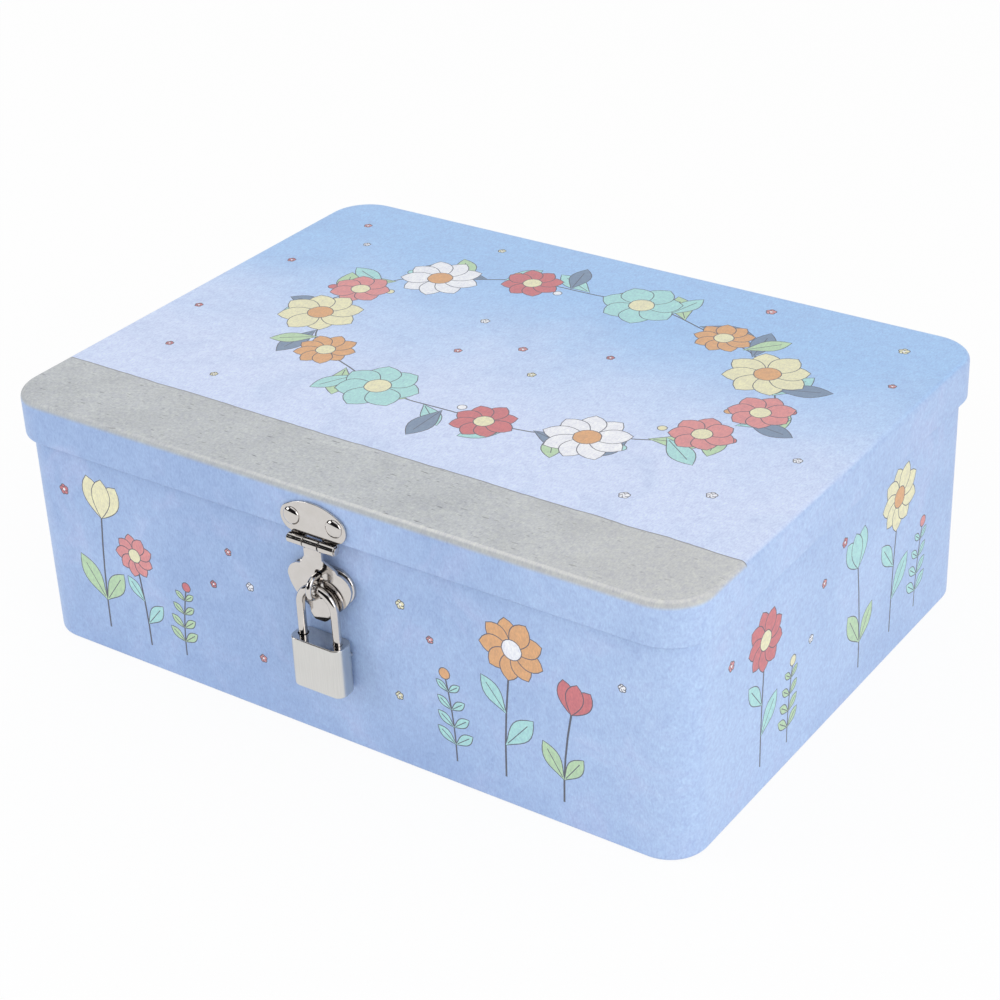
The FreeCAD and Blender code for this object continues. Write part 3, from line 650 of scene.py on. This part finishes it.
# finished pieces: soft edges, even shading, then a plain mesh that rides where its nodes ride

softEdge = dict(segments=2, angle=40, sharp=35, weld=0.001)     # degrees and mm


def plainPiece(piece, name, nodes):
    made = bpy.data.meshes.new_from_object(piece.evaluated_get(bpy.context.evaluated_depsgraph_get()))
    piece.modifiers.clear()
    piece.data = made
    made.name = name
    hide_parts(*nodes)
    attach(piece, bodyOf[nodes[0]])
    return piece


def settle(mesh, name, node, bevel=0.0):
    mesh.set_sharp_from_angle(angle=math.radians(softEdge["sharp"]))
    piece = bpy.data.objects.new(name, mesh)
    scene.collection.objects.link(piece)
    if bevel:
        soft = piece.modifiers.new("softEdges", "BEVEL")
        soft.width = bevel * mm
        soft.segments = softEdge["segments"]
        soft.limit_method = "ANGLE"
        soft.angle_limit = math.radians(softEdge["angle"])
        weld = piece.modifiers.new("weld", "WELD")
        weld.merge_threshold = softEdge["weld"] * mm
    even = piece.modifiers.new("evenShading", "WEIGHTED_NORMAL")
    even.keep_sharp = True
    return plainPiece(piece, name, [node])


# tin shells: the sheet's section carried round the box, sizes in mm

tin = dict(
    corner=12.0, inset=2.0, sheet=0.3,
    lidEdge=1.6, hem=0.6,
    curl=0.8, rimGap=0.2,
    footEdge=1.2, flange=4.0,
    weld=0.0003,
)
tinSteps = dict(corner=20, curl=15, curlBore=12, foot=6, lidEdge=8, lidInside=6, hem=12, hemBore=8)
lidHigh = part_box("lid_shell")[1] / mm
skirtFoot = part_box("lid_shell")[0].z / mm
coreX = lidHigh.x - tin["corner"]
coreY = lidHigh.y - tin["corner"]


def tinStations():
    # (core point, outward direction) at every step round the four corners, seen from above against the clock
    found = []
    for x, y, start in ((-coreX, coreY, 90), (-coreX, -coreY, 180), (coreX, -coreY, 270), (coreX, coreY, 0)):
        for step in range(tinSteps["corner"] + 1):
            angle = math.radians(start + 90 * step / tinSteps["corner"])
            found.append((Vector((x, y)), Vector((math.cos(angle), math.sin(angle)))))
    return found


stations = tinStations()


def arc(cx, cy, radius, start, end, steps):
    turns = [math.radians(start + (end - start) * i / steps) for i in range(steps + 1)]
    return [(cx + radius * math.cos(t), cy + radius * math.sin(t)) for t in turns]


class sheetMesh:
    # collects faces in mm, with a material and an ink colour each
    def __init__(self):
        self.bm = bmesh.new()
        self.ink = self.bm.loops.layers.float_color.new("ink")

    def face(self, points, material=0, colour=None):
        made = self.bm.faces.new([self.bm.verts.new(Vector(p) * mm) for p in points])
        made.material_index = material
        made.smooth = True
        for loop in made.loops:
            loop[self.ink] = colour or (1, 1, 1, 0)

    def carry(self, section, materials):
        # section points are (reach from the core, height), listed upwards on the outside
        rings = [[Vector((*(at + out * reach), z)) for reach, z in section] for at, out in stations]
        for k, ring in enumerate(rings):
            after = rings[(k + 1) % len(rings)]
            for i in range(len(section) - 1):
                self.face([ring[i], after[i], after[i + 1], ring[i + 1]], materials[i])

    def finish(self, name, node, mats):
        bmesh.ops.remove_doubles(self.bm, verts=self.bm.verts, dist=tin["weld"] * mm)
        mesh = bpy.data.meshes.new(name)
        self.bm.to_mesh(mesh)
        self.bm.free()
        for mat in mats:
            mesh.materials.append(finishes[mat])
        return settle(mesh, name, node)


def unrolled(reach):
    # distance of every station along the wall, the wall's girth, and the middles of its four sides
    along = [0.0]
    for (at, out), (nextAt, nextOut) in zip(stations, stations[1:]):
        along.append(along[-1] + (nextAt - at).length + reach * out.angle(nextOut, 0))
    girth = along[-1] + 2 * coreX
    ends = [(tinSteps["corner"] + 1) * i - 1 for i in (1, 2, 3)]
    middles = [(along[end] + along[end + 1]) / 2 for end in ends] + [(along[-1] + girth) / 2]
    return along + [girth], girth, middles


def makeBodyShell():
    outer = tin["corner"] - tin["inset"]
    rimLevel = lidHigh.z - tin["sheet"] - tin["rimGap"] - tin["curl"]
    rimAt = outer - tin["curl"]
    footAt = outer - tin["footEdge"]
    foot = tin["footEdge"]
    lip = outer - tin["flange"]
    sheet = sheetMesh()
    # rim curl, inner wall, flange and foot; the print covers the foot and the curl's outer third
    curl = arc(rimAt, rimLevel, tin["curl"], 0, 270, tinSteps["curl"])
    bore = arc(rimAt, rimLevel, tin["curl"] - tin["sheet"], 270, 0, tinSteps["curlBore"])
    inside = arc(footAt, foot, foot - tin["sheet"], 0, -90, tinSteps["foot"])
    inside += [(lip, tin["sheet"]), (lip, 0)]
    under = arc(footAt, foot, foot, -90, 0, tinSteps["foot"])
    section = curl + bore + inside + under
    curlPrint = tinSteps["curl"] // 3
    footPrint = len(section) - len(under)
    sheet.carry(section, [0 if i < curlPrint or i >= footPrint else 1 for i in range(len(section))])
    # printed wall
    along, girth, middles = unrolled(outer)
    rim = [at + out * outer for at, out in stations + stations[:1]]
    cuts = [((u, foot), (u, rimLevel)) for u in along[1:-1]]
    border = [(0, foot), (girth, foot), (girth, rimLevel), (0, rimLevel)]
    verts, tris, colours = inlaid(border, cuts, wallMotifs(middles))

    def rolled(u, v, k):
        share = (u - along[k]) / (along[k + 1] - along[k])
        return Vector((*rim[k].lerp(rim[k + 1], share), v))

    for tri, colour in zip(tris, colours):
        middle = sum(verts[i].x for i in tri) / 3
        k = next(i for i in range(len(along) - 1) if middle <= along[i + 1])
        sheet.face([rolled(verts[i].x, verts[i].y, k) for i in tri], 0, colour)
    return sheet.finish("bodyShell", "body_shell", ["printedWalls", "bareTin"])


def makeLidShell():
    outer = tin["corner"]
    edge = tin["lidEdge"]
    hemAt = outer - tin["hem"]
    hemLevel = skirtFoot + tin["hem"]
    flat = outer - edge
    edgeLevel = lidHigh.z - edge
    sheet = sheetMesh()
    # skirt with its hem; the inside and the hem's inner third stay bare
    inside = arc(flat, edgeLevel, edge - tin["sheet"], 90, 0, tinSteps["lidInside"])
    bore = arc(hemAt, hemLevel, tin["hem"] - tin["sheet"], 0, -180, tinSteps["hemBore"])
    hem = arc(hemAt, hemLevel, tin["hem"], -180, 0, tinSteps["hem"])
    over = arc(flat, edgeLevel, edge, 0, 90, tinSteps["lidEdge"])
    section = inside + bore + hem + over
    bareRuns = len(inside) + len(bore) + tinSteps["hem"] // 3
    sheet.carry(section, [1 if i < bareRuns else 0 for i in range(len(section))])
    # underside and printed top
    rim = [at + out * flat for at, out in stations]
    underside = [Vector((*p, lidHigh.z - tin["sheet"])) for p in rim]
    sheet.face(underside[::-1], 1)
    verts, tris, colours = inlaid([tuple(p) for p in rim], [], lidMotifs())
    for tri, colour in zip(tris, colours):
        sheet.face([Vector((*verts[i], lidHigh.z)) for i in tri], 0, colour)
    return sheet.finish("lidShell", "lid_shell", ["printedLid", "bareTin"])


makeBodyShell()
makeLidShell()
print("tin shells printed")


# fittings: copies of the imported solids, welded and given soft edges of these widths in mm

plateEdge = 0.12
wireEdge = 0.08
plugEdge = 0.06
flatAngle = 0.4     # faces that meet at less than this are one, degrees


def dress(node, name, finish, bevel=0.0, second=None, isSecond=None):
    bm = bmesh.new()
    bm.from_mesh(frame["nodes"][node].data)
    bmesh.ops.remove_doubles(bm, verts=bm.verts, dist=softEdge["weld"] * mm)
    bmesh.ops.dissolve_limit(bm, angle_limit=math.radians(flatAngle), verts=bm.verts, edges=bm.edges)
    for face in bm.faces:
        face.smooth = True
        face.material_index = 1 if isSecond and isSecond(face) else 0
    mesh = bpy.data.meshes.new(name)
    bm.to_mesh(mesh)
    bm.free()
    for mat in [finish] + ([second] if second else []):
        mesh.materials.append(finishes[mat])
    return settle(mesh, name, node, bevel)


dress("hasp_plate", "haspPlate", "nickel", plateEdge)
dress("hasp_leaf", "haspLeaf", "nickel", plateEdge)
dress("hasp_pin", "haspPin", "nickel", wireEdge)
dress("staple_base", "stapleBase", "nickel", wireEdge)
dress("staple_loop", "stapleLoop", "nickel", wireEdge)
dress("staple_backplate", "stapleBackplate", "bareTin", plateEdge)
for side in ("left", "right"):
    dress("lid_hinge_leaf_" + side, "lidHingeLeaf." + side, "nickel", plateEdge)
    dress("body_hinge_leaf_" + side, "bodyHingeLeaf." + side, "nickel", plateEdge)
    dress("hinge_pin_" + side, "hingePin." + side, "nickel", wireEdge)
dress("hasp_washers", "haspWashers", "bareTin", wireEdge)
dress("lid_hinge_washers", "lidHingeWashers", "bareTin", wireEdge)
dress("body_hinge_washers", "bodyHingeWashers", "bareTin", wireEdge)
dress("bottom_panel", "bottomPanel", "bareTin")
print("hasp, staple and hinges dressed")


# padlock: polished top on a satin case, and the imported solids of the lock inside

topTilt = 0.4     # a face that points up more than this belongs to the top
lockInside = {
    "latch_bolt": "brass",
    "plug_wafers": "brass",
    "latch_spring": "springSteel",
    "shackle_spring": "springSteel",
    "shackle_retaining_pin": "satinNickel",
    "plug_retaining_pin": "satinNickel",
}

dress("shackle", "lockShackle", "nickel", wireEdge)
dress("padlock_case", "padlockCase", "nickel", 0, "satinNickel", lambda face: face.normal.z < topTilt)
dress("key_plug", "keyPlug", "brass", plugEdge)
for node, finish in lockInside.items():
    mesh = frame["nodes"][node].data
    mesh.materials.clear()
    mesh.materials.append(finishes[finish])
print("padlock dressed")


# rivets: one domed shape set in pairs on every plate, sizes in mm

rivet = dict(
    headRadius=2.35, headHeight=0.95,
    shank=1.0, plate=0.65, tinAndWasher=0.7,
    tailRadius=1.5, tailHeight=0.4,
    spacing=12.4,
    domeSteps=8, sides=36, sharp=40, weld=0.001,
)


def makeRivetShape():
    # turned about its axis, head towards -Y, seated on the tin's outer face at the origin
    dome = [(rivet["headRadius"] * math.cos(t), -rivet["plate"] - rivet["headHeight"] * math.sin(t))
            for t in [math.pi / 2 * i / rivet["domeSteps"] for i in range(rivet["domeSteps"] + 1)]]
    tail = rivet["tinAndWasher"]
    tailEnd = tail + rivet["tailHeight"]
    shank = [(0, tailEnd), (rivet["shank"], tailEnd), (rivet["tailRadius"], tail), (rivet["shank"], tail),
             (rivet["shank"], -rivet["plate"])]
    bm = bmesh.new()
    path = [bm.verts.new((r * mm, y * mm, 0)) for r, y in shank + dome]
    edges = [bm.edges.new(pair) for pair in zip(path, path[1:])]
    bmesh.ops.spin(bm, geom=path + edges, cent=(0, 0, 0), axis=(0, 1, 0), angle=2 * math.pi,
                   steps=rivet["sides"], use_duplicate=False)
    bmesh.ops.remove_doubles(bm, verts=bm.verts, dist=rivet["weld"] * mm)
    bmesh.ops.recalc_face_normals(bm, faces=bm.faces)
    for face in bm.faces:
        face.smooth = True
    mesh = bpy.data.meshes.new("rivetShape")
    bm.to_mesh(mesh)
    bm.free()
    mesh.set_sharp_from_angle(angle=math.radians(rivet["sharp"]))
    return bpy.data.objects.new("rivetShape", mesh)


def makeRivetTree():
    tree = bpy.data.node_groups.new("rivetPairs", "GeometryNodeTree")
    sockets = {}
    for label, kind in (("plates", "NodeSocketGeometry"), ("spacing", "NodeSocketFloat"),
                        ("rivet", "NodeSocketObject"), ("finish", "NodeSocketMaterial")):
        sockets[label] = tree.interface.new_socket(label, in_out="INPUT", socket_type=kind).identifier
    tree.interface.new_socket("rivets", in_out="OUTPUT", socket_type="NodeSocketGeometry")
    given = put(tree, "NodeGroupInput").outputs
    # a pair of seats on every plate's point
    half = calc(tree, "MULTIPLY", given["spacing"], -0.5)
    start = put(tree, "ShaderNodeCombineXYZ", {"X": half}).outputs[0]
    step = put(tree, "ShaderNodeCombineXYZ", {"X": given["spacing"]}).outputs[0]
    pair = put(tree, "GeometryNodeMeshLine", {"Count": 2, "Start Location": start, "Offset": step}).outputs[0]
    onPlates = {"Points": given["plates"], "Instance": pair}
    seats = put(tree, "GeometryNodeInstanceOnPoints", onPlates).outputs[0]
    seats = put(tree, "GeometryNodeRealizeInstances", {0: seats}).outputs[0]
    # heads face forwards on the front and backwards on the back
    place = put(tree, "ShaderNodeSeparateXYZ", {0: put(tree, "GeometryNodeInputPosition").outputs[0]}).outputs
    turn = calc(tree, "MULTIPLY", calc(tree, "GREATER_THAN", place[1], 0.0), math.pi)
    facing = put(tree, "ShaderNodeCombineXYZ", {"Z": turn}).outputs[0]
    shape = put(tree, "GeometryNodeObjectInfo", {"Object": given["rivet"]}).outputs["Geometry"]
    onSeats = {"Points": seats, "Instance": shape, "Rotation": facing}
    placed = put(tree, "GeometryNodeInstanceOnPoints", onSeats).outputs[0]
    solid = put(tree, "GeometryNodeRealizeInstances", {0: placed}).outputs[0]
    done = put(tree, "GeometryNodeSetMaterial", {"Geometry": solid, "Material": given["finish"]}).outputs[0]
    put(tree, "NodeGroupOutput", {0: done})
    return tree, sockets


def setRivets(name, nodes, tree, sockets, shape):
    # one point on the tin's face at the middle of each plate
    points = []
    stand = (rivet["headHeight"] + rivet["plate"]) * mm
    for node in nodes:
        low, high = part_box(node)
        front = low.y < 0
        seat = low.y + stand if front else high.y - stand
        reach = high.x - (rivet["spacing"] / 2 + rivet["headRadius"]) * mm
        for x in ([0.0] if front else [-reach, reach]):
            points.append((x, seat, (low.z + high.z) / 2))
    mesh = bpy.data.meshes.new(name)
    mesh.from_pydata(points, [], [])
    piece = bpy.data.objects.new(name, mesh)
    scene.collection.objects.link(piece)
    maker = piece.modifiers.new("rivetPairs", "NODES")
    maker.node_group = tree
    maker[sockets["spacing"]] = rivet["spacing"] * mm
    maker[sockets["rivet"]] = shape
    maker[sockets["finish"]] = finishes["nickel"]
    return plainPiece(piece, name, nodes)


rivetShape = makeRivetShape()
rivetTree, rivetSockets = makeRivetTree()
setRivets("lidRivets", ["hasp_rivets", "lid_hinge_rivets"], rivetTree, rivetSockets, rivetShape)
setRivets("bodyRivets", ["body_hinge_rivets"], rivetTree, rivetSockets, rivetShape)
bpy.data.objects.remove(rivetShape)
print("rivets set")


# studio in metres: white floor that keeps a soft shadow, even white surroundings, two lamps, and behind
# the camera a dark room that only shiny metal shows

studio = dict(
    floorSize=4.0, floorGlow=0.92, floorWhite=0.98, ambient=0.78,
    lamps=[dict(name="keyLamp", at=(-0.85, -0.65, 0.42), size=0.45, power=2.4),
           dict(name="fillLamp", at=(1.0, -0.3, 0.5), size=0.8, power=3.0)],
    room=dict(reach=1.15, left=-110, right=62, low=0.04, high=1.5, steps=24, colour=(0.015, 0.015, 0.017, 1)),
)
white = (1, 1, 1, 1)


def seenRays(tree):
    # 1 for what the camera sees directly, in metal or through glass
    path = put(tree, "ShaderNodeLightPath").outputs
    direct = calc(tree, "MAXIMUM", path["Is Camera Ray"], path["Is Glossy Ray"])
    return calc(tree, "MAXIMUM", direct, path["Is Transmission Ray"])


def stageMesh(name, points, faces, mat):
    mesh = bpy.data.meshes.new(name)
    mesh.from_pydata(points, [], faces)
    mesh.materials.append(mat)
    made = bpy.data.objects.new(name, mesh)
    scene.collection.objects.link(made)
    return made


def makeFloor():
    mat, tree = emptyMaterial("floorWhite")
    shade = studio["floorWhite"]
    plain = put(tree, "ShaderNodeBsdfDiffuse", {"Color": (shade, shade, shade, 1)}).outputs[0]
    glow = put(tree, "ShaderNodeEmission", {"Color": white, "Strength": 1.0}).outputs[0]
    share = calc(tree, "MULTIPLY", seenRays(tree), studio["floorGlow"])
    mixed = put(tree, "ShaderNodeMixShader", {0: share, 1: plain, 2: glow}).outputs[0]
    put(tree, "ShaderNodeOutputMaterial", {"Surface": mixed})
    half = studio["floorSize"] / 2
    corners = [(-half, -half, 0), (half, -half, 0), (half, half, 0), (-half, half, 0)]
    stageMesh("floor", corners, [(0, 1, 2, 3)], mat)


def makeRoom():
    # a curved band in front of the object, its bearings in degrees from straight ahead
    room = studio["room"]
    points = []
    for i in range(room["steps"] + 1):
        bearing = math.radians(room["left"] + (room["right"] - room["left"]) * i / room["steps"])
        across, along = room["reach"] * math.sin(bearing), -room["reach"] * math.cos(bearing)
        points += [(across, along, room["low"]), (across, along, room["high"])]
    faces = [(i, i + 2, i + 3, i + 1) for i in range(0, 2 * room["steps"], 2)]
    mat, tree = emptyMaterial("darkRoom")
    dark = put(tree, "ShaderNodeEmission", {"Color": room["colour"], "Strength": 1.0}).outputs[0]
    put(tree, "ShaderNodeOutputMaterial", {"Surface": dark})
    wall = stageMesh("darkRoom", points, faces, mat)
    for ray in ("camera", "diffuse", "shadow", "transmission", "volume_scatter"):
        setattr(wall, "visible_" + ray, False)


def makeWorld():
    world = bpy.data.worlds.new("studioWhite")
    scene.world = world
    world.use_nodes = True
    tree = world.node_tree
    tree.nodes.clear()
    level = calc(tree, "MULTIPLY_ADD", seenRays(tree), 1.0 - studio["ambient"], studio["ambient"])
    sky = put(tree, "ShaderNodeBackground", {"Color": white, "Strength": level}).outputs[0]
    put(tree, "ShaderNodeOutputWorld", {"Surface": sky})


def makeLamps():
    for one in studio["lamps"]:
        lamp = bpy.data.lights.new(one["name"], "AREA")
        lamp.size = one["size"]
        lamp.energy = one["power"]
        lampObject = bpy.data.objects.new(one["name"], lamp)
        lampObject.location = one["at"]
        lampObject.rotation_euler = (-Vector(one["at"])).to_track_quat("-Z", "Y").to_euler()
        scene.collection.objects.link(lampObject)


# camera: the photograph's own view, angles in degrees, sizes in mm

viewpoint = dict(
    azimuth=35.67, elevation=29.64, roll=-2.495,
    distance=596.9, aim=(0.76, -0.97, 32.71),
    lens=82.93, sensor=36.0, nearest=10,
)


def makeCamera():
    azimuth, elevation, roll = [math.radians(viewpoint[k]) for k in ("azimuth", "elevation", "roll")]
    level = math.cos(elevation)
    back = Vector((math.sin(azimuth) * level, -math.cos(azimuth) * level, math.sin(elevation)))
    right = Vector((0, 0, 1)).cross(back).normalized()
    up = back.cross(right)
    tiltedRight = right * math.cos(roll) + up * math.sin(roll)
    tiltedUp = up * math.cos(roll) - right * math.sin(roll)
    data = bpy.data.cameras.new("camera")
    data.lens = viewpoint["lens"]
    data.sensor_width = viewpoint["sensor"]
    data.clip_start = viewpoint["nearest"] * mm
    camera = bpy.data.objects.new("camera", data)
    turn = Matrix((tiltedRight, tiltedUp, back)).transposed().to_4x4()
    at = (Vector(viewpoint["aim"]) + back * viewpoint["distance"]) * mm
    camera.matrix_world = Matrix.Translation(at) @ turn
    scene.collection.objects.link(camera)
    scene.camera = camera


makeFloor()
makeRoom()
makeWorld()
makeLamps()
makeCamera()
scene.view_settings.view_transform = "Standard"
print("studio ready")
